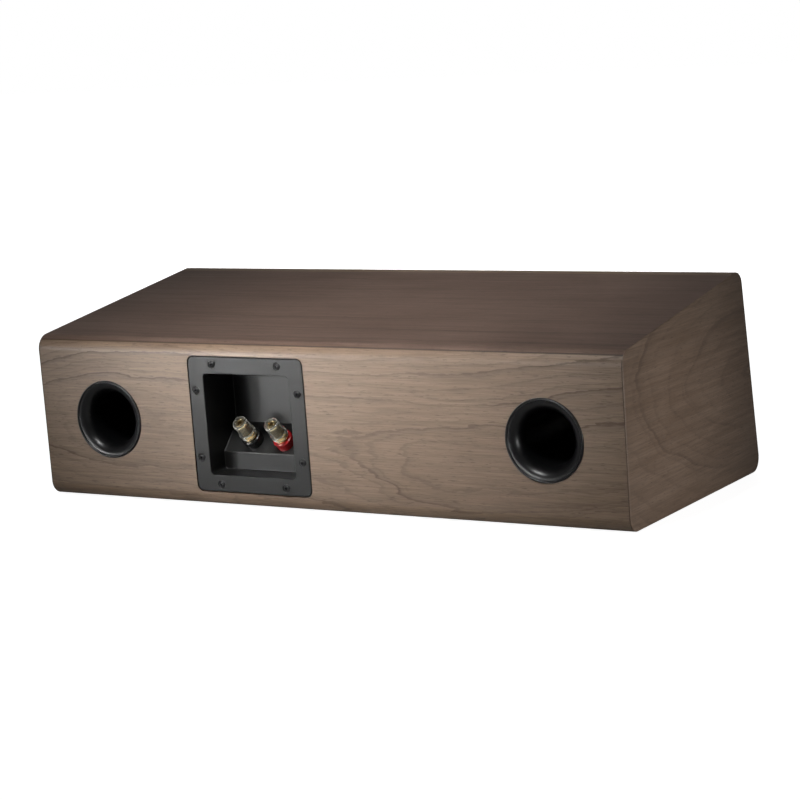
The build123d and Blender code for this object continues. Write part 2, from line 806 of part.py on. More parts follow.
def tweeter_magnet():
    """Ring magnet of the tweeter."""
    high = tweeter_seat - tweeter_top_plate
    return ring(tweeter_motor_radius, tweeter_magnet_bore, high - tweeter_magnet_thickness, high)


def tweeter_yoke_piece():
    """Back plate and vented pole of the tweeter."""
    high = tweeter_seat - tweeter_top_plate - tweeter_magnet_thickness
    low = high - tweeter_yoke
    return turned_outline((tweeter_vent_radius, low), (tweeter_motor_radius, low), (tweeter_motor_radius, high),
                          (tweeter_pole_radius, high), (tweeter_pole_radius, tweeter_seat - tweeter_pole_drop),
                          (tweeter_vent_radius, tweeter_seat - tweeter_pole_drop))


def tweeter_can():
    """Rear chamber behind the tweeter's pole vent."""
    high = tweeter_seat - tweeter_top_plate - tweeter_magnet_thickness - tweeter_yoke
    low = high - tweeter_can_depth
    can = rod(tweeter_can_radius, low, high)
    can = fillet(can.edges().filter_by_position(Axis.Z, low - edge_reach, low + edge_reach), 2 * tweeter_can_wall)
    return can - rod(tweeter_can_radius - tweeter_can_wall, low + tweeter_can_wall, high + cut_reach)


# Crossover, screwed to the bottom board on spacers

def crossover_board():
    """Printed circuit board."""
    board = slab(board_width, board_depth, board_corner, board_low, board_high)
    for place in board_screw_places:
        board -= place * rod(board_screw_radius + screw_gap, 0, 2 * board_high)
    return board_place * board


def board_spacers():
    """Four spacers under the board."""
    return [board_place * place * ring(spacer_radius, board_screw_radius + screw_gap, wall, board_low)
            for place in board_screw_places]


def board_screws():
    """Four screws through the board and its spacers."""
    screw = rod(board_screw_head, board_high, board_high + board_screw_head_height)
    screw += rod(board_screw_radius, board_high - board_screw_length, board_high)
    return [board_place * place * screw for place in board_screw_places]


def on_board(spot, height=0.0):
    """Place over the board, from shares of its width and depth, at a height above it."""
    return board_place * Pos(spot[0] * board_width, spot[1] * board_depth, board_high + height)


def woofer_choke():
    """Air-cored coil of the woofer filter, lying flat."""
    return on_board(air_coil_spot) * ring(air_coil_radius, air_coil_bore, 0, air_coil_height)


def tweeter_choke():
    """Air-cored coil of the tweeter filter, standing on its rim."""
    coil = ring(small_coil_radius, small_coil_bore, -small_coil_height / 2, small_coil_height / 2)
    return on_board(small_coil_spot, small_coil_radius) * Rot(Y=90) * coil


def capacitors():
    """Film capacitors, two large and two small, lying on the board."""
    kinds = ((big_capacitor_spots, big_capacitor_radius, big_capacitor_length),
             (small_capacitor_spots, small_capacitor_radius, small_capacitor_length))
    return [on_board(spot, radius) * Rot(Y=90) * rod(radius, -span / 2, span / 2)
            for spots, radius, span in kinds for spot in spots]


def resistors():
    """Two square cement resistors."""
    return [on_board(spot, resistor_side / 2) * Box(resistor_side, resistor_length, resistor_side)
            for spot in resistor_spots]


pieces = {
    "cabinet_wrap": cabinet_wrap(),
    "front_baffle": front_baffle(),
    "side_panel_left": side_panel(-1),
    "side_panel_right": side_panel(1),
    "brace_left": brace(-1),
    "brace_right": brace(1),
    "wadding_left": wadding(-1),
    "wadding_right": wadding(1),
    "terminal_plate": plate_place * terminal_plate(),
    "terminal_gasket": plate_place * terminal_gasket(),
    "terminal_screws": terminal_screws(),
    "crossover_board": crossover_board(),
    "board_spacers": board_spacers(),
    "board_screws": board_screws(),
    "woofer_choke": woofer_choke(),
    "tweeter_choke": tweeter_choke(),
    "capacitors": capacitors(),
    "resistors": resistors(),
    "tweeter_faceplate": tweeter_place * tweeter_faceplate(),
    "tweeter_dome": tweeter_place * tweeter_dome(),
    "tweeter_coil": tweeter_place * tweeter_coil(),
    "tweeter_top_plate": tweeter_place * tweeter_top_ring(),
    "tweeter_magnet": tweeter_place * tweeter_magnet(),
    "tweeter_yoke": tweeter_place * tweeter_yoke_piece(),
    "tweeter_rear_chamber": tweeter_place * tweeter_can(),
    "tweeter_screws": driver_screws(tweeter_place, tweeter_screw_places, cap_head_height),
}
for side, place in port_places.items():
    pieces[f"port_{side}"] = place * port()
for colour, place in post_places.items():
    for name, piece in (("collar", post_collar()), ("stud", post_stud()), ("clamp_washer", clamp_washer()),
                        ("knob_nut", knob_nut()), ("knob_sleeve", knob_sleeve())):
        pieces[f"post_{colour}_{name}"] = plate_place * place * piece
for name, piece in (("tail_washers", tail_washer()), ("solder_tags", solder_tag()), ("tail_nuts", tail_nut())):
    pieces[f"post_{name}"] = [plate_place * place * piece for place in post_places.values()]
for side, place in woofer_places.items():
    for name, piece in (("frame", woofer_frame()), ("surround", woofer_surround()), ("cone", woofer_cone()),
                        ("voice_coil", voice_coil()), ("spider", woofer_spider()),
                        ("top_plate", woofer_top_plate()), ("magnet", woofer_magnet()), ("yoke", woofer_yoke())):
        pieces[f"woofer_{side}_{name}"] = place * piece
    pieces[f"woofer_{side}_screws"] = driver_screws(place, woofer_screw_places, cap_head_height)

os.makedirs("parts", exist_ok=True)
for name, piece in pieces.items():
    shape = Compound(children=piece) if isinstance(piece, list) else piece
    export_step(shape, f"parts/{name}.step")
print(len(pieces), "pieces")
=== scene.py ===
from math import atan2, cos, pi, radians, sin, sqrt, tan

import bpy
from mathutils import Matrix, Vector
from mathutils.geometry import intersect_line_line


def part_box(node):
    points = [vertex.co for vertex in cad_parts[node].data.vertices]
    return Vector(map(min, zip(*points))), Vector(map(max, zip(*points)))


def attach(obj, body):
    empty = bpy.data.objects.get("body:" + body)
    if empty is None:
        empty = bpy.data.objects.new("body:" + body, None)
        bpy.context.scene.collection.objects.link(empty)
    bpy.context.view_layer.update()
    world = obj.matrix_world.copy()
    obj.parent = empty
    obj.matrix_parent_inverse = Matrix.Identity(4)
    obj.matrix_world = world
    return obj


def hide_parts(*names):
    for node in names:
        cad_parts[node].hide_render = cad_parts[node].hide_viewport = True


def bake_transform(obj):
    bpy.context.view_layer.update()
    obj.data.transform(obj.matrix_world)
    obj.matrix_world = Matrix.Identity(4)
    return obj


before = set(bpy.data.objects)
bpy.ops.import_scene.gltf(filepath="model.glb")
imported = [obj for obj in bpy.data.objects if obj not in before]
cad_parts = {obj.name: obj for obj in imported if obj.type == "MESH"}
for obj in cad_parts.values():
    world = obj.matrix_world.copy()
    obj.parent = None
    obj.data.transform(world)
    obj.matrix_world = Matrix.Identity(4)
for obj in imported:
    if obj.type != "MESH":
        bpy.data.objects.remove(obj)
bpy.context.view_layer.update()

# Pieces are drawn in millimetres and settled in metres.
# X runs along the speaker, the front looks along -Y, Z is up.
MILLIMETRE = 0.001

# Cabinet
LENGTH = 620.0
END_LIP = 1.2
SEAM = 0.2
EDGE_RADIUS = 14.0
WALL = 18.0
BAFFLE = 22.0
CORNERS = [Vector((0, -147.5, 0)), Vector((0, -112.5, 196)), Vector((0, 153.5, 156)), Vector((0, 147.5, 0))]
FRONT_LEAN = atan2(35, 196)
REAR_LEAN = atan2(6, 156)

# How far the cutters reach beyond a face
OUTSIDE = 20.0

# Ports
PORT_SPOT = 232.5
PORT_HOLE = 34.0
PORT_SEAT = 37.8
PORT_LIP = 37.6
PORT_FLANGE = 3.0
PORT_BORE = 27.5
PORT_LENGTH = 103.0

# Terminal plate
PLATE = (126.0, 128.0)
PLATE_CORNER = 6.2
PLATE_THICKNESS = 3.0
PLATE_GAP = 0.9
CUP = (94.0, 96.0)
CUP_CORNER = 3.6
CUP_DEPTH = 48.0
CUP_WALL = 2.5
STEP_DEPTH = 24.0
STEP_HEIGHT = 17.0
SCREW_SPOTS = [(x * across, y * up) for x, y in ((36, 57), (56, 32)) for across in (-1, 1) for up in (-1, 1)]
SCREW_RECESS = 0.9
BUTTON_SHANK = 1.75
GASKET = 1.5

# Binding posts
POST_SPREAD = 17.5
POST_HOLE = 5.1
COLLAR_RADIUS = 9.7
COLLAR_HEIGHT = 9.0
STUD_RADIUS = 3.0
NUT_BORE = 3.08
WASHER_TOP = 10.4
KNOB_FOOT = 10.5
SLEEVE_TOP = 32.5
STUD_TOP = 31.6

# Drivers
WOOFER_SPOT = 176.08
SEAT_DEPTH = 3.0
CONE_RIM = 46.6
DOME_RADIUS = 25.0
WOOFER_SCREW_CIRCLE = 73.5
TWEETER_SCREW_CIRCLE = 46.0
HORN_THROAT = 18.4
CAP_HEAD = 2.6
# Hole, seat, depth of the seat and of the whole room of a driver in the baffle
WOOFER_ROOM = (70, 79.2, 5, 40)
TWEETER_ROOM = (38, 52.2, 4, 40)

# Wadding pads: distance from the boards, and from the bottom board on which they stand
PAD_INSET = 11
PAD_GAP = 1


def face_place(origin, across, out):
    """Place on a face of the cabinet: local Y runs up the face and local Z points out of it."""
    across, out = Vector(across), Vector(out)
    place = Matrix((across, out.cross(across), out)).transposed().to_4x4()
    place.translation = Vector(origin)
    return place


def shifted(x, y=0.0, z=0.0):
    return Matrix.Translation((x, y, z))


FRONT = face_place((0, -130, 98), (1, 0, 0), (0, -cos(FRONT_LEAN), sin(FRONT_LEAN)))
REAR = face_place((0, 150.5, 78), (-1, 0, 0), (0, cos(REAR_LEAN), -sin(REAR_LEAN)))
TERMINAL = REAR @ shifted(-71.61)
PORTS = {"left": REAR @ shifted(PORT_SPOT), "right": REAR @ shifted(-PORT_SPOT)}
WOOFERS = {"left": FRONT @ shifted(-WOOFER_SPOT), "right": FRONT @ shifted(WOOFER_SPOT)}
POSTS = {colour: TERMINAL @ shifted(x, -21.95, -33.05) @ Matrix.Rotation(radians(-45), 4, "X")
         for colour, x in (("black", -POST_SPREAD), ("red", POST_SPREAD))}


# Modelling steps that every piece shares

def flat_square(name):
    """A new square of unit size in edit mode, about the origin."""
    bpy.ops.object.select_all(action="DESELECT")
    bpy.ops.mesh.primitive_plane_add(size=1)
    piece = bpy.context.object
    piece.name = piece.data.name = name
    bpy.ops.object.mode_set(mode="EDIT")
    return piece


def started(name):
    """A new mesh in edit mode, with one point at the origin."""
    piece = flat_square(name)
    bpy.ops.mesh.merge(type="CENTER")
    return piece


def draw(points):
    """Moves the start point to the first place and extrudes it through the others."""
    bpy.ops.transform.translate(value=points[0])
    for here, there in zip(points, points[1:]):
        step = [b - a for a, b in zip(here, there)]
        bpy.ops.mesh.extrude_vertices_move(TRANSFORM_OT_translate={"value": step})


def close_up():
    """Ends edit mode with faces that point outwards."""
    bpy.ops.mesh.select_all(action="SELECT")
    bpy.ops.mesh.normals_make_consistent(inside=False)
    bpy.ops.object.mode_set(mode="OBJECT")


def turned(name, profile, steps=96):
    """Piece turned about local Z from a profile of (radius, height) points."""
    piece = started(name)
    draw([(radius, 0, height) for radius, height in profile])
    bpy.ops.mesh.select_all(action="SELECT")
    bpy.ops.mesh.spin(steps=steps, angle=2 * pi, center=(0, 0, 0), axis=(0, 0, 1))
    bpy.ops.mesh.select_all(action="SELECT")
    bpy.ops.mesh.remove_doubles(threshold=0.003)
    close_up()
    return piece


def arc(middle, radii, start, end, steps=8):
    """Points on an arc in a profile, from one angle to another, in degrees."""
    angles = [radians(start + (end - start) * index / steps) for index in range(steps + 1)]
    return [(middle[0] + radii[0] * cos(angle), middle[1] + radii[1] * sin(angle)) for angle in angles]


def bowed(start, end, sag, steps=12):
    """Points on a shallow bow from one point to another, which stands off the straight line by sag."""
    run = Vector(end) - Vector(start)
    side = Vector((-run.y, run.x)).normalized() * sag
    points = []
    for index in range(steps + 1):
        share = index / steps
        points.append(tuple(Vector(start) + run * share + side * 4 * share * (1 - share)))
    return points


def slab(name, size, corner, low, high, steps=8):
    """Rounded rectangle drawn out between two heights."""
    piece = flat_square(name)
    bpy.ops.transform.resize(value=(size[0], size[1], 1))
    bpy.ops.transform.translate(value=(0, 0, low))
    if corner:
        bpy.ops.mesh.bevel(offset=corner, segments=steps, affect="VERTICES")
    bpy.ops.mesh.extrude_region_move(TRANSFORM_OT_translate={"value": (0, 0, high - low)})
    close_up()
    return piece


def prism(name, points, start, end, round_corners=()):
    """Closed outline across X, its chosen corners rounded, drawn out from one X to another."""
    piece = started(name)
    draw([(start, y, z) for y, z in points])
    bpy.ops.mesh.select_all(action="SELECT")
    bpy.ops.mesh.edge_face_add()
    for index, radius in round_corners:
        before, corner, after = (Vector(points[(index + step) % len(points)]) for step in (-1, 0, 1))
        opening = (before - corner).angle(after - corner)
        select_vertices(piece, lambda v: (Vector((v.y, v.z)) - corner).length < 0.01)
        bpy.ops.mesh.bevel(offset=radius / tan(opening / 2), segments=14, affect="VERTICES")
    bpy.ops.mesh.select_all(action="SELECT")
    bpy.ops.mesh.extrude_region_move(TRANSFORM_OT_translate={"value": (end - start, 0, 0)})
    close_up()
    return piece


def select_nothing(piece):
    """Deselects all of a piece's mesh, in object mode."""
    for group in (piece.data.vertices, piece.data.edges, piece.data.polygons):
        group.foreach_set("select", [False] * len(group))


def select_vertices(piece, wanted):
    """Selects the vertices of a piece in edit mode by their place."""
    bpy.ops.object.mode_set(mode="OBJECT")
    select_nothing(piece)
    for vertex in piece.data.vertices:
        vertex.select = wanted(vertex.co)
    bpy.ops.object.mode_set(mode="EDIT")
    bpy.ops.mesh.select_mode(type="VERT")


def bevel_where(piece, wanted, width, segments=3):
    """Rounds the edges whose two ends are both where wanted says."""
    bpy.ops.object.select_all(action="DESELECT")
    bpy.context.view_layer.objects.active = piece
    piece.select_set(True)
    select_nothing(piece)
    spots = [wanted(vertex.co) for vertex in piece.data.vertices]
    for edge in piece.data.edges:
        edge.select = spots[edge.vertices[0]] and spots[edge.vertices[1]]
    bpy.ops.object.mode_set(mode="EDIT")
    bpy.ops.mesh.select_mode(type="EDGE")
    bpy.ops.mesh.bevel(offset=width, segments=segments, affect="EDGES")
    bpy.ops.mesh.select_mode(type="VERT")
    close_up()


def apply_modifier(piece, kind, **settings):
    """Adds a modifier and applies it."""
    bpy.context.view_layer.objects.active = piece
    modifier = piece.modifiers.new(kind.title(), kind)
    for name, value in settings.items():
        setattr(modifier, name, value)
    bpy.ops.object.modifier_apply(modifier=modifier.name)


def soften(piece, width, segments=3, angle=30):
    """Rounds all the sharp edges of a piece."""
    apply_modifier(piece, "BEVEL", width=width, segments=segments, limit_method="ANGLE",
                   angle_limit=radians(angle))


def cut(piece, cutter, operation="DIFFERENCE"):
    """Takes a cutter out of a piece, or adds it, and throws the cutter away."""
    apply_modifier(piece, "BOOLEAN", operation=operation, solver="EXACT", object=cutter)
    bpy.data.objects.remove(cutter)


def moved(piece, place):
    """Moves a cutter, still in millimetres."""
    piece.matrix_world = place
    bpy.ops.object.select_all(action="DESELECT")
    piece.select_set(True)
    bpy.context.view_layer.objects.active = piece
    bpy.ops.object.transform_apply(location=True, rotation=True, scale=True)
    return piece


def settle(piece, place=Matrix(), angle=35):
    """Puts a finished piece in its place, in metres, with smooth shading."""
    moved(piece, Matrix.Scale(MILLIMETRE, 4) @ place)
    bpy.ops.object.shade_smooth_by_angle(angle=radians(angle))
    apply_modifier(piece, "WEIGHTED_NORMAL", keep_sharp=True)
    return piece


def copied(piece, name):
    """Copy of a piece with its own mesh."""
    copy = piece.copy()
    copy.data = piece.data.copy()
    copy.name = copy.data.name = name
    bpy.context.scene.collection.objects.link(copy)
    return copy


def dress(piece, material, slot, body, *nodes):
    """Gives a settled piece its material and body, and hides the nodes it stands for."""
    piece.data.materials.clear()
    piece.data.materials.append(material)
    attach(piece, body)
    if nodes:
        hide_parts(*nodes)
    return piece


# Materials

def made_material(name, colour, roughness, **sockets):
    """New material whose plain values stand on the shader's own sockets."""
    material = bpy.data.materials.new(name)
    material.use_nodes = True
    shader = material.node_tree.nodes["Principled BSDF"]
    shader.inputs["Base Color"].default_value = (*colour, 1)
    shader.inputs["Roughness"].default_value = roughness
    for socket, value in sockets.items():
        shader.inputs[socket.replace("_", " ")].default_value = value
    return material


def node(material, kind, inputs=(), **settings):
    """New node; inputs maps a socket's name or number to a value or to another node's output."""
    tree = material.node_tree
    made = tree.nodes.new("ShaderNode" + kind)
    for name, value in settings.items():
        setattr(made, name, value)
    for socket, value in dict(inputs).items():
        if isinstance(value, bpy.types.NodeSocket):
            tree.links.new(value, made.inputs[socket])
        else:
            made.inputs[socket].default_value = value
    return made


def stretched(material, scale, shift=(0, 0, 0)):
    """Object coordinates, scaled by different amounts along the three axes and then shifted."""
    place = node(material, "TexCoord").outputs["Object"]
    return node(material, "Mapping", {"Vector": place, "Scale": scale, "Location": shift}).outputs["Vector"]


def noise(material, scale, detail=2.0, roughness=0.5, shift=(0, 0, 0)):
    """Soft random pattern from 0 to 1, with its own scale along each axis, in waves per metre."""
    where = stretched(material, scale, shift)
    settings = {"Vector": where, "Scale": 1.0, "Detail": detail, "Roughness": roughness}
    return node(material, "TexNoise", settings).outputs["Fac"]


def math(material, operation, first, second=0.0):
    return node(material, "Math", {0: first, 1: second}, operation=operation).outputs[0]


def ramp(material, value, *stops):
    """Values or colours between stops of (place, value)."""
    made = node(material, "ValToRGB", {"Fac": value})
    points = made.color_ramp.elements
    while len(points) < len(stops):
        points.new(0.5)
    for point, (place, colour) in zip(points, stops):
        point.position = place
        point.color = (*colour, 1) if isinstance(colour, tuple) else (colour, colour, colour, 1)
    return made.outputs["Color"]


def mix(material, share, first, second, blend="MIX"):
    made = node(material, "Mix", {0: share, 6: first, 7: second}, data_type="RGBA", blend_type=blend)
    return made.outputs[2]


def shade(material, colour=None, roughness=None, height=None, strength=0.3, distance=0.0001):
    """Links patterns to the shader: colour, roughness, and height as a bump."""
    shader = material.node_tree.nodes["Principled BSDF"]
    links = material.node_tree.links
    if colour:
        links.new(colour, shader.inputs["Base Color"])
    if roughness:
        links.new(roughness, shader.inputs["Roughness"])
    if height:
        bump = node(material, "Bump", {"Height": height, "Strength": strength, "Distance": distance})
        links.new(bump.outputs["Normal"], shader.inputs["Normal"])
    return material


def walnut(material, light, dark, line, along="X", centre=(-0.35, 0.105, 0.066), shift=0.0, wander=0.10,
           rings=46.0, depth=1.0, arch=0.055, faint=0.12):
    """Flat-sawn walnut: wavy growth lines in long arches, fibres, pores and a cloudy figure.

    Gives colour and relief. The growth lines are rings about a centre in metres, so many to the metre, which
    wander by a random amount, open along the grain by arch, and fade to faint in some zones.
    """

    def grain(fine, coarse):
        """Scale of a pattern that is coarse along the grain and fine across it."""
        return (coarse, fine, fine) if along == "X" else (fine, coarse, fine)

    def times(value, factor):
        return math(material, "MULTIPLY", value, factor)

    def plus(first, second):
        return math(material, "ADD", first, second)

    drift = noise(material, grain(8.0, 2.4), 2, 0.45, (shift, 2.0, 5.0))
    ripple = noise(material, grain(60.0, 13.0), 3, 0.6, (shift + 3, 1.0, 2.0))
    feather = noise(material, grain(700.0, 130.0), 2, 0.6, (2.0, shift, 6.0))
    bend = plus(times(drift, wander), plus(times(ripple, 0.010), times(feather, 0.0016)))
    spread = (arch, 1, 1) if along == "X" else (0, arch, 1)
    middle = [c * s for c, s in zip(centre, spread)]
    across = node(material, "VectorMath", {0: stretched(material, spread), 1: middle}, operation="DISTANCE")
    growth = plus(across.outputs["Value"], bend)

    def growth_lines(per_metre, core, soft, zone):
        """Dark late-wood lines with a soft shade that builds up on one side, stronger in some zones."""
        phase = math(material, "FRACT", times(growth, per_metre))
        lines = ramp(material, phase, (0.0, 0.0), (1 - soft, 0.0), (1 - 1.8 * core, 0.26), (1 - core, 0.82),
                     (1 - 0.3 * core, 0.82), (1.0, 0.0))
        zones = noise(material, grain(16.0, 4.0), 2, 0.5, (zone, shift, 1.0))
        return times(lines, ramp(material, zones, (0.38, faint), (0.60, 1.0)))

    lines = math(material, "MAXIMUM", growth_lines(rings, 0.042, 0.22, 7.0),
                 times(growth_lines(2.9 * rings, 0.11, 0.5, 13.0), 0.40))
    streak = noise(material, grain(230.0, 6.0), 4, 0.65, (1.0, shift, 4.0))
    fibre = noise(material, grain(1250.0, 30.0), 3, 0.6, (4.0, 1.0, shift))
    cloud = noise(material, grain(26.0, 12.0), 3, 0.5, (shift, 8.0, 3.0))
    pores = noise(material, grain(1300.0, 110.0), 2, 0.5, (2.0, 6.0, shift))
    pores = ramp(material, pores, (0.30, 1.0), (0.38, 0.0))

    tone = plus(times(streak, 0.6), times(cloud, 0.4))
    base = mix(material, ramp(material, tone, (0.36, 0.0), (0.64, 1.0)), (*dark, 1), (*light, 1))
    base = mix(material, 1.0, base, ramp(material, fibre, (0.30, 0.78), (0.70, 1.14)), "MULTIPLY")
    base = mix(material, times(lines, depth), base, (*line, 1))
    base = mix(material, times(pores, 0.55), base, (*[c * 0.6 for c in line], 1))
    return base, math(material, "SUBTRACT", fibre, times(pores, 0.8))


def between(material, value, low, high):
    """1 where a value lies between two limits, else 0."""
    above = math(material, "GREATER_THAN", value, low)
    return math(material, "MULTIPLY", above, math(material, "LESS_THAN", value, high))


def parted(material):
    """The three object coordinates."""
    return node(material, "SeparateXYZ", {0: stretched(material, (1, 1, 1))}).outputs


def veneer(name, *tones, edge=None, **figure):
    """Satin-finished veneer with one figure; its cut edge, up to a distance from the middle, can be dark: a
    glue line and painted shade of the seam gap.
    """
    material = made_material(name, tones[0], SATIN)
    colour, relief = walnut(material, *tones, **figure)
    if edge:
        spot = parted(material)
        low = between(material, spot[2], 0, CUT_EDGE_TOP)
        cut_edge = math(material, "MULTIPLY", between(material, spot[0], -edge, edge), low)
        # Painted shade: the cut edge beside the seam with the wrap is darkened, as a glue line and as the
        # shade of the gap
        colour = mix(material, math(material, "MULTIPLY", cut_edge, 0.85), colour, (*SEAM_AND_GAP_SHADE_TONE, 1))
    return shade(material, colour, None, relief, *VENEER_RELIEF)


def wrap_veneer(name, tones, shaded_top_tones):
    """Two sheets of veneer with a thin dark seam on the upper rear rounding; the top sheet is darker partly
    as painted shade, and the recess walls carry near-black painted shade.
    """
    material = made_material(name, tones[0], SATIN)
    colour, relief = walnut(material, *tones, **REAR_FIGURE)
    top_colour, _ = walnut(material, *shaded_top_tones, **TOP_FIGURE)
    spot = parted(material)
    ahead = math(material, "SUBTRACT", SEAM_SPOT, spot[1])
    above = math(material, "GREATER_THAN", spot[2], UPPER_HALF)
    on_top = math(material, "MULTIPLY", above, math(material, "GREATER_THAN", ahead, 0.0))
    near = math(material, "LESS_THAN", math(material, "ABSOLUTE", ahead), SEAM_HALF_WIDTH)
    seam = math(material, "MULTIPLY", above, near)
    # The top sheet's tones are darker than the rear's, partly its own veneer and partly painted shade of the
    # top
    colour = mix(material, on_top, colour, top_colour)
    colour = mix(material, math(material, "MULTIPLY", seam, 0.7), colour, (*SEAM_AND_GAP_SHADE_TONE, 1))
    rear = math(material, "SUBTRACT", math(material, "MULTIPLY", spot[1], cos(REAR_LEAN)),
                math(material, "MULTIPLY", spot[2], sin(REAR_LEAN)))
    # Painted shade: the walls of the recesses for the terminal plate and the ports are coloured near-black
    recess = math(material, "MULTIPLY", between(material, rear, *RECESS_DEPTHS),
                  between(material, spot[2], *RECESS_HEIGHTS))
    return shade(material, mix(material, recess, colour, (*PAINTED_RECESS_SHADE, 1)), None, relief, *VENEER_RELIEF)


def moulded(name, colour, roughness, grain=1400.0, contrast=0.10, strength=0.25, **sockets):
    """Moulded plastic or paint with a fine even grain."""
    material = made_material(name, colour, roughness, **sockets)
    fine = noise(material, (grain,) * 3, 2, 0.6)
    broad = noise(material, (35.0,) * 3, 2)
    tone = ramp(material, broad, (0.3, tuple(c * (1 - contrast) for c in colour)),
                (0.7, tuple(c * (1 + contrast) for c in colour)))
    gloss = ramp(material, fine, (0.3, roughness * 0.9), (0.7, min(1.0, roughness * 1.12)))
    return shade(material, tone, gloss, fine, strength, 0.00006)


def brushed(name, colour, roughness, lines=2600.0):
    """Turned or drawn metal with fine tool marks along X and slight tarnish."""
    material = made_material(name, colour, roughness, Metallic=1.0)
    marks = noise(material, (lines * 0.1, lines, lines), 2, 0.6)
    tarnish = noise(material, (90.0,) * 3, 3, 0.6)
    tone = ramp(material, tarnish, (0.3, tuple(c * 0.82 for c in colour)), (0.7, colour))
    gloss = ramp(material, marks, (0.3, roughness * 0.8), (0.7, min(1.0, roughness * 1.4)))
    return shade(material, tone, gloss, marks, 0.12, 0.00003)


def woven(name, colour, roughness, threads):
    """Cloth or wool: two crossing sets of threads, so many to the metre, with a little unevenness."""
    material = made_material(name, colour, roughness)
    spot = parted(material)
    across = math(material, "SINE", math(material, "MULTIPLY", spot[0], threads * 2 * pi))
    up = math(material, "SINE", math(material, "MULTIPLY", spot[2], threads * 2 * pi))
    weave = math(material, "MULTIPLY_ADD", math(material, "MULTIPLY", across, up), 0.5)
    weave = math(material, "ADD", weave, math(material, "MULTIPLY", noise(material, (300.0,) * 3), 0.6))
    tone = ramp(material, noise(material, (160.0,) * 3, 3, 0.6), (0.3, tuple(c * 0.8 for c in colour)),
                (0.7, tuple(min(1.0, c * 1.2) for c in colour)))
    return shade(material, tone, None, weave, 0.35, 0.00015)


def clear_plastic(name, tint):
    """Clear moulded acrylic with a milky haze."""
    material = made_material(name, tint, 0.08, IOR=1.49, Transmission_Weight=0.93)
    haze = noise(material, (240.0,) * 3, 2)
    return shade(material, None, ramp(material, haze, (0.3, 0.02), (0.7, 0.07)))


REAR_TONES = ((0.272, 0.190, 0.130), (0.208, 0.140, 0.092), (0.095, 0.059, 0.036))
# The top sheet's tones are darker than the rear's, partly its own veneer and partly painted shade of the top
SHADED_TOP_TONES = ((0.190, 0.124, 0.095), (0.125, 0.077, 0.057), (0.060, 0.035, 0.025))
END_TONES = ((0.210, 0.144, 0.101), (0.150, 0.097, 0.063), (0.062, 0.037, 0.024))
# Painted shade: near-black colour for the recess walls around the terminal plate and the ports
PAINTED_RECESS_SHADE = (0.008, 0.006, 0.005)
# Dark seam colour: the real joint between the wrap's two veneers, and at the ends' cut edges also painted
# shade of the seam gap
SEAM_AND_GAP_SHADE_TONE = (0.030, 0.016, 0.010)
REAR_FIGURE = {"wander": 0.065, "rings": 58.0, "arch": 0.11, "faint": 0.4}
TOP_FIGURE = {"centre": (0.0, 0.6, -0.25), "shift": 31.0, "wander": 0.035, "rings": 34.0, "depth": 0.8,
              "arch": 0.0}
BAFFLE_FIGURE = {"centre": (0.0, 0.20, 0.10), "shift": 11.0}
END_FIGURE = {"along": "Y", "centre": (0.0, -0.13, 0.10), "shift": 23.0, "wander": 0.07, "rings": 22.0,
              "depth": 0.62, "arch": 0.36}
SATIN = 0.42
VENEER_RELIEF = (0.25, 0.00012)

# Where the veneers change, in metres: seam between rear and top, recesses whose walls are painted with shade,
# cut edges of the ends with a glue line and painted gap shade
SEAM_SPOT = 0.1489
SEAM_HALF_WIDTH = 0.0006
UPPER_HALF = 0.12
RECESS_DEPTHS = (0.1300, 0.1470)
RECESS_HEIGHTS = (0.0135, 0.1434)
CUT_EDGE = 0.3092
CUT_EDGE_TOP = 0.15

walnut_wrap = wrap_veneer("walnut veneer, wrap", REAR_TONES, SHADED_TOP_TONES)
walnut_baffle = veneer("walnut veneer, baffle", *REAR_TONES, **BAFFLE_FIGURE)
walnut_end = veneer("walnut veneer, end panel", *END_TONES, edge=CUT_EDGE, **END_FIGURE)
raw_board = moulded("raw fibreboard", (0.33, 0.22, 0.13), 0.85, 600.0, 0.2)
wool = woven("damping wool", (0.62, 0.61, 0.57), 0.95, 260.0)
port_black = moulded("port plastic, gloss black", (0.004, 0.004, 0.0045), 0.31, 300.0, 0.1, 0.03)
plate_black = moulded("terminal plate, satin black", (0.009, 0.009, 0.0086), 0.39, 1900.0, 0.06, 0.30)
foam = moulded("gasket foam", (0.03, 0.03, 0.03), 0.95, 900.0, 0.2, 0.8)
black_steel = moulded("blackened steel", (0.016, 0.016, 0.017), 0.34, 1500.0, 0.2, 0.1)
collar_red = moulded("collar, red", (0.33, 0.010, 0.012), 0.16, 500.0, 0.1, 0.04, Coat_Weight=0.4)
collar_black = moulded("collar, black", (0.012, 0.012, 0.012), 0.16, 500.0, 0.1, 0.04, Coat_Weight=0.4)
gold = brushed("gold plating", (0.90, 0.75, 0.47), 0.18)
clear_sleeve = clear_plastic("sleeve, clear", (0.96, 0.95, 0.88))
nylon = moulded("insulating washer", (0.72, 0.70, 0.64), 0.5, 500.0)
zinc = brushed("zinc-plated steel", (0.62, 0.63, 0.64), 0.34)
cast_black = moulded("cast frame, black powder coat", (0.026, 0.026, 0.027), 0.42, 1700.0, 0.12, 0.5)
rubber = moulded("surround rubber", (0.016, 0.016, 0.016), 0.55, 500.0, 0.15, 0.1)
cone_black = moulded("pressed cone", (0.022, 0.022, 0.024), 0.40, 1100.0, 0.15, 0.35)
copper = brushed("enamelled winding", (0.72, 0.34, 0.18), 0.30, 5000.0)
spider_cloth = woven("spider cloth", (0.62, 0.42, 0.14), 0.85, 700.0)
ferrite = moulded("ferrite", (0.055, 0.055, 0.058), 0.6, 900.0, 0.2)
faceplate_black = moulded("faceplate, satin black", (0.030, 0.030, 0.031), 0.36, 1800.0, 0.08, 0.25)
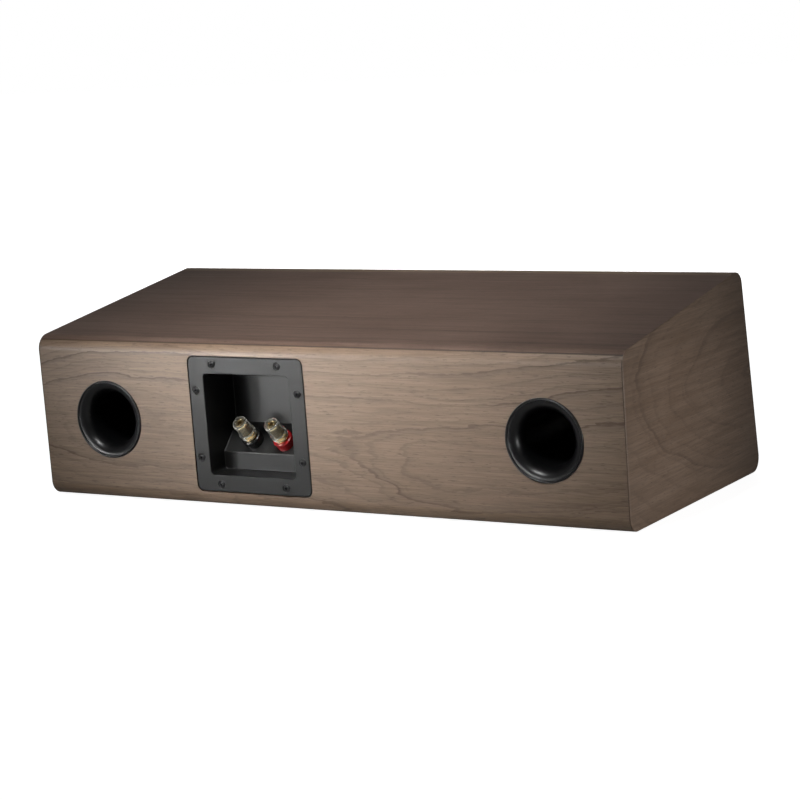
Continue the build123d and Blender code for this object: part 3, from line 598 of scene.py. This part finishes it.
dome_cloth = woven("dome cloth, coated", (0.028, 0.027, 0.030), 0.5, 1500.0)
board_green = moulded("circuit board", (0.02, 0.12, 0.05), 0.4, 400.0)
film_sleeve = moulded("capacitor sleeve", (0.10, 0.12, 0.33), 0.35, 300.0)
ceramic = moulded("resistor ceramic", (0.70, 0.68, 0.62), 0.8, 900.0)

NODE_MATERIALS = {
    "brace": raw_board, "board_spacers": nylon, "board_screws": zinc, "crossover_board": board_green,
    "woofer_choke": copper, "tweeter_choke": copper, "capacitors": film_sleeve, "resistors": ceramic,
    "post_tail_washers": nylon, "post_solder_tags": gold, "post_tail_nuts": zinc, "tweeter_coil": copper,
    "tweeter_top_plate": zinc, "tweeter_yoke": zinc, "tweeter_magnet": ferrite,
    "tweeter_rear": faceplate_black, "tweeter_faceplate": faceplate_black, "frame": cast_black,
    "voice_coil": copper, "top_plate": zinc,
    "magnet": ferrite, "yoke": zinc, "screws": black_steel, "cabinet_wrap": walnut_wrap,
    "front_baffle": walnut_baffle, "side_panel": walnut_end,
}


def finish_cad_nodes():
    """Gives every carried-over node its material."""
    for name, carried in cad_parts.items():
        for word, material in NODE_MATERIALS.items():
            if word in name:
                carried.data.materials.clear()
                carried.data.materials.append(material)
                break


# Cabinet

def inset_corners(front=0.0, top=0.0, rear=0.0, bottom=0.0):
    """Corners (y, z) of the end outline with each side moved inwards by its own distance."""
    sides = []
    for index, inset in enumerate((front, top, rear, bottom)):
        start, end = CORNERS[index], CORNERS[(index + 1) % 4]
        along = (end - start).normalized()
        shift = Vector((0, along.z, -along.y)) * inset
        sides.append((start + shift, end + shift))
    crossings = [intersect_line_line(*sides[index - 1], *sides[index])[0] for index in range(4)]
    return [(point.y, point.z) for point in crossings]


def stepped_room(hole, seat, seat_depth, depth):
    """Room for a round piece with a flange: a hole with a wider seat, open towards the outside."""
    return turned("stepped room", [(0, -depth), (hole, -depth), (hole, -seat_depth), (seat, -seat_depth),
                                   (seat, OUTSIDE), (0, OUTSIDE)])


def screw_room(hole, head, recess, depth):
    """Hole and counterbore for a screw, with a small chamfer."""
    return turned("screw room", [(0, -depth), (hole, -depth), (hole, -recess), (head, -recess), (head, -0.3),
                                 (head + 0.5, 0.2), (0, 0.2)], 32)


def recess_for_plate():
    """Room in the rear board for the terminal plate, its gasket and its cup."""
    size = [side + 2 * PLATE_GAP for side in PLATE]
    room = slab("plate room", size, PLATE_CORNER + PLATE_GAP, -PLATE_THICKNESS - GASKET, OUTSIDE)
    cup = [side + 2 * (CUP_WALL + 2) for side in CUP]
    cut(room, slab("cup room", cup, CUP_CORNER + CUP_WALL + 2, -2 * WALL, -1), "UNION")
    return moved(room, TERMINAL)


def cabinet_wrap():
    """Veneered shell of top, rear and bottom with rounded long edges."""
    outer = inset_corners(front=BAFFLE)
    inner = inset_corners(BAFFLE, WALL, WALL, WALL)
    half = LENGTH / 2 - END_LIP - SEAM
    points = [outer[0], outer[3], outer[2], outer[1], inner[1], inner[2], inner[3], inner[0]]
    shell = prism("cabinet_shell", points, -half, half, ((1, EDGE_RADIUS), (2, EDGE_RADIUS)))
    cut(shell, recess_for_plate())
    for place in PORTS.values():
        cut(shell, moved(stepped_room(PORT_HOLE, PORT_SEAT, PORT_FLANGE, 2 * WALL), place))
    dress(settle(shell), walnut_wrap, "walnut_wrap", "cabinet", "cabinet_wrap")


def front_baffle():
    """Front board with rounded long edges and stepped holes for the drivers."""
    outer, rear = inset_corners(), inset_corners(front=BAFFLE)
    half = LENGTH / 2 - END_LIP - SEAM
    board = prism("front_board", [outer[0], outer[1], rear[1], rear[0]], -half, half,
                  ((0, EDGE_RADIUS), (1, EDGE_RADIUS)))
    for place in WOOFERS.values():
        cut(board, moved(stepped_room(*WOOFER_ROOM), place))
    cut(board, moved(stepped_room(*TWEETER_ROOM), FRONT))
    dress(settle(board), walnut_baffle, "walnut_baffle", "cabinet", "front_baffle")


def end_panels():
    """End panels with softened outer edges, and the board behind each."""
    for side, sign in (("left", -1), ("right", 1)):
        outer = sign * LENGTH / 2
        inner = outer - sign * END_LIP
        corners = [(index, EDGE_RADIUS) for index in (3, 2, 1, 0)]
        panel = prism(f"end_panel_{side}", inset_corners(), inner, outer, corners)
        bevel_where(panel, lambda v: abs(v.x - outer) < 0.01, 0.8, 4)
        board = prism("end board", inset_corners(BAFFLE, WALL, WALL, WALL), inner - sign * WALL,
                      inner + sign * 0.3)
        cut(panel, board, "UNION")
        dress(settle(panel), walnut_end, "walnut_side", "cabinet", f"side_panel_{side}")


# Ports

def ports():
    """Port mouldings: rounded lip, elliptical flare, straight tube and a small flare at its inner end."""
    lip_side, foot, end, flare = 0.3, 1.4 - 17, -PORT_LENGTH, 5
    profile = [(25, end)]
    profile += arc((35.4, foot), (10.4, lip_side - foot), 180, 90, 20)
    profile += arc((PORT_LIP - 1.1, lip_side), (1.1, 1.1), 180, 0, 14)[1:]
    profile += [(PORT_LIP, -PORT_FLANGE), (PORT_HOLE - 0.2, -PORT_FLANGE), (PORT_BORE, foot - 2.5),
                (PORT_BORE, end), (PORT_BORE + flare, end - flare), (30, end - flare)]
    profile += arc((30, end), (flare, flare), -90, -180, 6)[1:]
    port = turned("port_moulding_left", profile, 128)
    other = copied(port, "port_moulding_right")
    dress(settle(port, PORTS["left"]), port_black, "port_gloss", "cabinet", "port_left")
    dress(settle(other, PORTS["right"]), port_black, "port_gloss", "cabinet", "port_right")


# Terminal plate

def cup_space(name, grow, high):
    """Space of the terminal cup with its step and slanted panel, or its outer form when grown."""
    size = [side + 2 * grow for side in CUP]
    space = slab(name, size, CUP_CORNER + grow, -CUP_DEPTH - grow, high)
    low = -size[1] / 2 - 5
    step = STEP_HEIGHT - CUP[1] / 2 - grow * tan(pi / 8)
    reach = 2 * CUP_DEPTH
    depth = -STEP_DEPTH - grow
    wedge = prism("wedge", [(low, depth), (step, depth), (step + reach, depth - reach), (low, depth - reach)],
                  -size[0], size[0])
    cut(space, wedge)
    return space


def terminal_plate():
    """Moulded plate with its deep stepped cup, all edges slightly rounded."""
    plate = slab("terminal_moulding", PLATE, PLATE_CORNER, -PLATE_THICKNESS, 0, 12)
    bevel_where(plate, lambda v: v.z > -0.01, 0.8, 4)
    cut(plate, cup_space("cup outside", CUP_WALL, -1.0), "UNION")
    space = cup_space("cup inside", 0.0, 4.0)
    soften(space, 0.9, 3)
    cut(plate, space)
    rim = [side / 2 + 0.01 for side in CUP]
    bevel_where(plate, lambda v: v.z > -0.01 and abs(v.x) < rim[0] and abs(v.y) < rim[1], 0.7, 3)
    for x, y in SCREW_SPOTS:
        cut(plate, moved(screw_room(BUTTON_SHANK + 0.1, 3.9, SCREW_RECESS, 6), shifted(x, y)))
    for place in POSTS.values():
        hole = turned("post hole", [(0, -6), (POST_HOLE, -6), (POST_HOLE, 2), (0, 2)], 48)
        cut(plate, moved(hole, TERMINAL.inverted() @ place))
    dress(settle(plate, TERMINAL), plate_black, "plate_black", "cabinet", "terminal_plate")


def terminal_gasket():
    """Thin foam gasket under the rim of the plate."""
    gasket = slab("plate_gasket", [side - 2 for side in PLATE], PLATE_CORNER - 1, -PLATE_THICKNESS - GASKET,
                  -PLATE_THICKNESS)
    cut(gasket, slab("gasket room", [side + 9 for side in CUP], 9, -6, 0))
    for x, y in SCREW_SPOTS:
        cut(gasket, moved(turned("screw hole", [(0, -6), (1.8, -6), (1.8, 0), (0, 0)], 24), shifted(x, y)))
    soften(gasket, 0.3, 2, 50)
    dress(settle(gasket, TERMINAL), foam, "foam_gasket", "cabinet", "terminal_gasket")


def socket(flats, low, high):
    """Hexagonal bar between two heights, which is cut out as the room for a key."""
    bpy.ops.object.select_all(action="DESELECT")
    bpy.ops.mesh.primitive_cylinder_add(vertices=6, radius=flats / sqrt(3), depth=high - low,
                                        location=(0, 0, (low + high) / 2))
    room = bpy.context.object
    return moved(room, room.matrix_world.copy())


def terminal_screws():
    """Button head screws with a hexagon socket, one modelled and copied."""
    profile = [(0, -18), (1.4, -18), (BUTTON_SHANK, -17.5), (BUTTON_SHANK, 0), (3.3, 0), (3.4, 0.1),
               (3.4, 0.45)]
    profile += arc((0, -0.7), (3.42, 3.0), 22, 90, 10)
    screw = turned("screw", profile, 48)
    cut(screw, socket(2.5, -0.8, 4))
    soften(screw, 0.12, 2, 40)
    for index, (x, y) in enumerate(SCREW_SPOTS):
        copy = copied(screw, f"plate_screw_{index + 1}")
        settle(copy, TERMINAL @ shifted(x, y, -SCREW_RECESS) @ Matrix.Rotation(0.7 * index, 4, "Z"))
        dress(copy, black_steel, "black_screw", "cabinet", "terminal_screws")
    bpy.data.objects.remove(screw)


# Binding posts

def post_collar():
    """Coloured collar with rounded shoulders."""
    rounding, inner, foot = 1.6, STUD_RADIUS, (POST_HOLE - 0.1, -CUP_WALL)
    side, shoulder = COLLAR_RADIUS, COLLAR_HEIGHT - rounding
    profile = [(inner, foot[1]), foot, (foot[0], 0), (side - 0.2, 0), (side, 0.2), (side, shoulder)]
    profile += arc((side - rounding, shoulder), (rounding, rounding), 0, 90, 8)
    profile += [(inner, COLLAR_HEIGHT), (inner, foot[1])]
    return turned("collar", profile)


def post_stud():
    """Threaded stud with the plug bore in its tip."""
    profile = [(0, -20), (2.4, -20), (STUD_RADIUS, -19.4)]
    for turn in range(15):
        base = -19.0 + turn
        profile += [(STUD_RADIUS, base), (STUD_RADIUS - 0.3, base + 0.5)]
    profile += [(STUD_RADIUS, -3.9), (STUD_RADIUS, STUD_TOP - 0.5), (2.6, STUD_TOP), (2.25, STUD_TOP),
                (2, STUD_TOP - 0.4), (2, STUD_TOP - 19), (0, STUD_TOP - 19.8)]
    return turned("stud", profile, 64)


def clamp_washer():
    """Captive washer with a fine edge."""
    bore, side, low, high = 3.16, 6.9, COLLAR_HEIGHT, WASHER_TOP
    washer = turned("washer", [(bore, low), (side, low), (side, high), (bore, high), (bore, low)])
    soften(washer, 0.25, 2, 40)
    return washer


def knob_nut():
    """Metal core of a knob: flange, hexagon with turned ends, neck and round tip."""
    foot = KNOB_FOOT
    nut = turned("nut", [(0, foot + 2.1), (4.3, foot + 2.1), (5.6, 13.8), (5.6, 28.2), (4.4, 29.5),
                         (0, 29.5)])
    cut(nut, socket(9.7, 0, 40), "INTERSECT")
    flange = turned("flange", [(NUT_BORE, foot), (6.2, foot), (6.6, foot + 0.3), (6.6, foot + 1.8),
                               (6.3, foot + 2.2), (NUT_BORE, foot + 2.2), (NUT_BORE, foot)])
    cut(nut, flange, "UNION")
    tip = turned("tip", [(NUT_BORE, 29), (4.5, 29), (4.5, 31.3), (4.2, 31.7), (3.4, 31.7), (NUT_BORE, 31.4),
                         (NUT_BORE, 29)])
    cut(nut, tip, "UNION")
    cut(nut, turned("thread", [(0, 8), (NUT_BORE, 8), (NUT_BORE, 34), (0, 34)]))
    soften(nut, 0.15, 2, 40)
    return nut


def knob_sleeve():
    """Clear sleeve with a wider foot and a rounded rim at its tip."""
    foot = KNOB_FOOT + 2.3
    profile = [(6, foot), (7.9, foot), (8.2, foot + 0.3), (8.2, foot + 4.2)]
    profile += arc((7.9, foot + 4.2), (0.3, 0.3), 0, 60, 4)[1:] + [(7.2, foot + 5.3), (7.2, SLEEVE_TOP - 1.2)]
    profile += arc((6.0, SLEEVE_TOP - 1.2), (1.2, 1.2), 0, 90, 6)[1:]
    profile += [(5.6, SLEEVE_TOP), (5.6, SLEEVE_TOP - 2.6), (6, SLEEVE_TOP - 2.6), (6, foot)]
    return turned("sleeve", profile)


def binding_posts():
    """The parts of one post are modelled once and settled at both."""
    parts = (("collar", post_collar(), None, "cabinet"), ("stud", post_stud(), gold, "cabinet"),
             ("clamp_washer", clamp_washer(), gold, "clamp"), ("knob_nut", knob_nut(), gold, "knob"),
             ("knob_sleeve", knob_sleeve(), clear_sleeve, "knob"))
    for colour, place in POSTS.items():
        for name, part, material, body in parts:
            copy = settle(copied(part, f"{colour}_post_{name}"), place)
            slot = {"collar": f"collar_{colour}", "knob_sleeve": "clear_sleeve"}.get(name, "gold")
            material = material or (collar_red if colour == "red" else collar_black)
            body = body if body == "cabinet" else f"{body}_{colour}"
            dress(copy, material, slot, body, f"post_{colour}_{name}")
    for _, part, _, _ in parts:
        bpy.data.objects.remove(part)


# Drivers

def radial_blend(piece):
    """Bakes the piece's placement into its mesh."""
    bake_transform(piece)


def soft_ring(piece, place, material, node_name):
    """Settles a flexible ring, gives it its material, hides the node it stands for and bakes its placement.
    """
    settle(piece, place)
    piece.data.materials.append(material)
    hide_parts(node_name)
    radial_blend(piece)


def surround_profile():
    """Half roll with a flat rim on each side, of even thickness."""
    low, high = -SEAT_DEPTH, -SEAT_DEPTH + 0.8
    inner, middle, outer = 43.3, 51.5, 61.8
    upper = [(inner, high)] + arc((middle, high - 0.1), (5.2, 4.6), 180, 0, 28) + [(outer, high)]
    lower = [(outer, low)] + arc((middle, low), (4.4, 4.5), 0, 180, 28) + [(inner, low), (inner, high)]
    return upper + lower


def cone_profile():
    """Flat rim, hollow flank and wide dome, in one pressing."""
    neck = -19.0
    flank = bowed((43.2, -SEAT_DEPTH), (DOME_RADIUS, neck), 2.2, 14)
    crown = arc((0, neck), (DOME_RADIUS, 9), 6, 90, 14)
    front = [(CONE_RIM, -SEAT_DEPTH)] + flank + crown
    thickness = 1.0
    back = [(radius, height - thickness) for radius, height in reversed(front)]
    return front + back + [front[0]]


def spider_profile():
    """Corrugated ring of even thickness."""
    low, inner, wave, step = -39.0, 25.3, 6.9, 0.5
    lower = [(inner, low)]
    lower += [(inner + index * step, low + 1.1 * sin(index * step * 2 * pi / wave)) for index in range(1, 42)]
    lower += [(46.6, low), (52.2, low)]
    thickness = 0.8
    upper = [(radius, height + thickness) for radius, height in reversed(lower)]
    return lower + upper + [lower[0]]


def cap_screw():
    """Cap head screw with a hexagon socket."""
    shank, head = 2.1, 3.6
    screw = turned("cap screw", [(0, -17), (1.7, -17), (shank, -16.5), (shank, 0), (head, 0),
                                 (head, CAP_HEAD), (0, CAP_HEAD)], 48)
    cut(screw, socket(3.0, 0.1, 4))
    soften(screw, 0.2, 2, 40)
    return screw


def driver_screws(screw, place, count, circle, turn, name, node_name):
    """Screws of one driver, sunk in its flange."""
    for index in range(count):
        angle = radians(turn + index * 360 / count)
        spot = place @ shifted(circle * cos(angle), circle * sin(angle), -CAP_HEAD)
        dress(settle(copied(screw, f"{name}_{index + 1}"), spot @ Matrix.Rotation(0.5 * index, 4, "Z")),
              black_steel, "black_screw", "cabinet", node_name)


def woofers():
    """What is seen and what flexes of the two woofers."""
    screw = cap_screw()
    for side, place in WOOFERS.items():
        woofer = f"woofer_{side}"
        body = f"{woofer}_cone"
        cone = turned(f"{woofer}_pressed_cone", cone_profile(), 128)
        dress(settle(cone, place), cone_black, "cone_black", body, f"{woofer}_cone")
        surround = turned(f"{woofer}_roll", surround_profile(), 128)
        soft_ring(surround, place, rubber, f"{woofer}_surround")
        spider = turned(f"{woofer}_corrugated_spider", spider_profile())
        soft_ring(spider, place, spider_cloth, f"{woofer}_spider")
        driver_screws(screw, place, 6, WOOFER_SCREW_CIRCLE, 90, f"{woofer}_screw", f"{woofer}_screws")
    driver_screws(screw, FRONT, 4, TWEETER_SCREW_CIRCLE, 45, "tweeter_screw", "tweeter_screws")
    bpy.data.objects.remove(screw)


def tweeter():
    """Faceplate with its shallow horn, and the soft dome."""
    throat = (HORN_THROAT, -3)
    profile = [throat, (HORN_THROAT, -4), (22.5, -4), (22.5, -6), (36, -6), (36, -4), (52, -4), (52, -0.8)]
    profile += arc((51.2, -0.8), (0.8, 0.8), 0, 90, 5)[1:] + [(31, 0)] + bowed((30, -0.05), throat, 0.5, 12)
    plate = turned("tweeter_front_plate", profile, 128)
    for index in range(4):
        angle = radians(45 + index * 90)
        room = screw_room(2.15, 4, CAP_HEAD, 5)
        cut(plate, moved(room, shifted(TWEETER_SCREW_CIRCLE * cos(angle), TWEETER_SCREW_CIRCLE * sin(angle))))
    dress(settle(plate, FRONT), faceplate_black, "faceplate", "cabinet", "tweeter_faceplate")
    low = -6.0
    outer = [(21.5, low), (17.6, low)] + arc((15.8, low), (1.8, 1.7), 0, 180, 10)
    outer += arc((0, low), (14, 5), 6, 90, 14)
    thickness = 0.35
    inner = [(radius, height + thickness) for radius, height in reversed(outer)]
    dome = turned("tweeter_soft_dome", outer + inner + [outer[0]], 96)
    soft_ring(dome, FRONT, dome_cloth, "tweeter_dome")


def damping_pads():
    """Lumpy wool pads on the end boards, inside the cabinet."""
    for side in ("left", "right"):
        low, high = (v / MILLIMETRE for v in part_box(f"wadding_{side}"))
        outer = inset_corners(BAFFLE + PAD_INSET, WALL + PAD_INSET, WALL + PAD_INSET, WALL + PAD_GAP)
        pad = prism(f"damping_pad_{side}", outer, low.x + 0.6, high.x - 0.6)
        soften(pad, 5, 3)
        apply_modifier(pad, "REMESH", mode="VOXEL", voxel_size=4.0)
        texture = bpy.data.textures.new("wool lumps", "CLOUDS")
        texture.noise_scale = 24
        apply_modifier(pad, "DISPLACE", texture=texture, strength=1.6, mid_level=0.85)
        bpy.data.textures.remove(texture)
        apply_modifier(pad, "SMOOTH", factor=0.5, iterations=2)
        dress(settle(pad), wool, "damping_wool", "cabinet", f"wadding_{side}")


# Stage, lamps and camera

FLOOR_GAP = 0.0004
GLOSSY_SHARE = 0.06
WORLD_LIGHT = 0.06
KEY_SIZE = (0.24, 0.20)
KEY_BEAM = 12.5
CAMERA_PLACE = (-1.1245, 1.8978, 0.4345)
CAMERA_TURN = (80.861, 2.978, -149.887)
CAMERA_LENS = 104.59


def seen_white(material):
    """1 where the camera looks, directly or through clear plastic, and less in reflections."""
    seen = node(material, "LightPath").outputs
    clear = math(material, "MAXIMUM", seen["Is Camera Ray"], seen["Is Transmission Ray"])
    return math(material, "MAXIMUM", clear, math(material, "MULTIPLY", seen["Is Glossy Ray"], GLOSSY_SHARE))


def stage_material():
    """Pale floor that shows as white where it is lit and keeps a soft shadow."""
    material = made_material("pale floor", (0.38, 0.38, 0.38), 0.9, Specular_IOR_Level=0.1)
    tree = material.node_tree
    shader, output = tree.nodes["Principled BSDF"], tree.nodes["Material Output"]
    where = stretched(material, (1, 1, 1))
    away = node(material, "VectorMath", {0: where, 1: (0, 0.05, 0)}, operation="DISTANCE")
    level = ramp(material, math(material, "MULTIPLY", away.outputs["Value"], 0.5), (0.12, 0.92), (0.30, 1.0))
    glow = node(material, "Emission", {"Color": (1, 1, 1, 1),
                                       "Strength": math(material, "MULTIPLY", seen_white(material), level)})
    total = node(material, "AddShader", {0: shader.outputs[0], 1: glow.outputs[0]})
    tree.links.new(total.outputs[0], output.inputs["Surface"])
    return material


def make_floor():
    """Wide pale floor just under the speaker."""
    bpy.ops.object.select_all(action="DESELECT")
    bpy.ops.mesh.primitive_plane_add(size=30, location=(0, 0, -FLOOR_GAP))
    floor = bpy.context.object
    floor.name = "floor"
    bpy.ops.object.transform_apply(location=True)
    floor.data.materials.append(stage_material())


def make_world():
    """Even dim light, seen as white."""
    world = bpy.data.worlds.new("studio")
    bpy.context.scene.world = world
    world.use_nodes = True
    background = world.node_tree.nodes["Background"]
    background.inputs["Color"].default_value = (1, 1, 1, 1)
    strength = node(world, "MapRange", {"Value": seen_white(world), "To Min": WORLD_LIGHT, "To Max": 1.0})
    world.node_tree.links.new(strength.outputs[0], background.inputs["Strength"])


def softbox(name, place, target, size, power, spread=180):
    """Rectangular lamp that looks at a target, in metres and watts; spread narrows its beam, in degrees."""
    bpy.ops.object.select_all(action="DESELECT")
    bpy.ops.object.light_add(type="AREA", location=place)
    lamp = bpy.context.object
    lamp.name = name
    lamp.data.shape = "RECTANGLE"
    lamp.data.size, lamp.data.size_y = size
    lamp.data.energy = power
    lamp.data.spread = radians(spread)
    lamp.rotation_euler = (Vector(target) - Vector(place)).to_track_quat("-Z", "Y").to_euler()


def make_lamps():
    """Three narrow keys low behind the speaker, a wide lamp over them, and fill from three more sides."""
    keys = (((0.28, 1.84, 0.26), -0.13, 0.115), ((0.65, 1.76, 0.24), 0.07, 0.090),
            ((1.0, 1.59, 0.18), 0.13, 0.116))
    for index, (place, target, power) in enumerate(keys):
        softbox(f"key {index + 1}", place, (target, 0.15, 0.14), KEY_SIZE, power, KEY_BEAM)
    softbox("straight", (0.55, 2.1, 0.55), (0.05, 0.15, 0.1), (0.9, 0.8), 2.2)
    softbox("overhead", (-0.01, 0.75, 1.15), (-0.01, 0.10, 0.15), (0.35, 0.2), 0.64, 40)
    softbox("side", (-0.80, 0.14, 0.07), (-0.31, 0.08, 0.08), (0.25, 0.12), 0.185, 60)
    softbox("front", (1.1, -2.6, 0.28), (0, 0, 0.1), (1.8, 0.5), 38)


def make_camera():
    """Camera of the photo, behind the speaker and to its left."""
    bpy.ops.object.select_all(action="DESELECT")
    bpy.ops.object.camera_add(location=CAMERA_PLACE, rotation=[radians(turn) for turn in CAMERA_TURN])
    camera = bpy.context.object
    camera.data.sensor_width = 36
    camera.data.lens = CAMERA_LENS
    bpy.context.scene.camera = camera
    bpy.context.scene.view_settings.view_transform = "Standard"


finish_cad_nodes()
cabinet_wrap()
front_baffle()
end_panels()
ports()
terminal_plate()
terminal_gasket()
terminal_screws()
binding_posts()
woofers()
tweeter()
damping_pads()
make_floor()
make_world()
make_lamps()
make_camera()
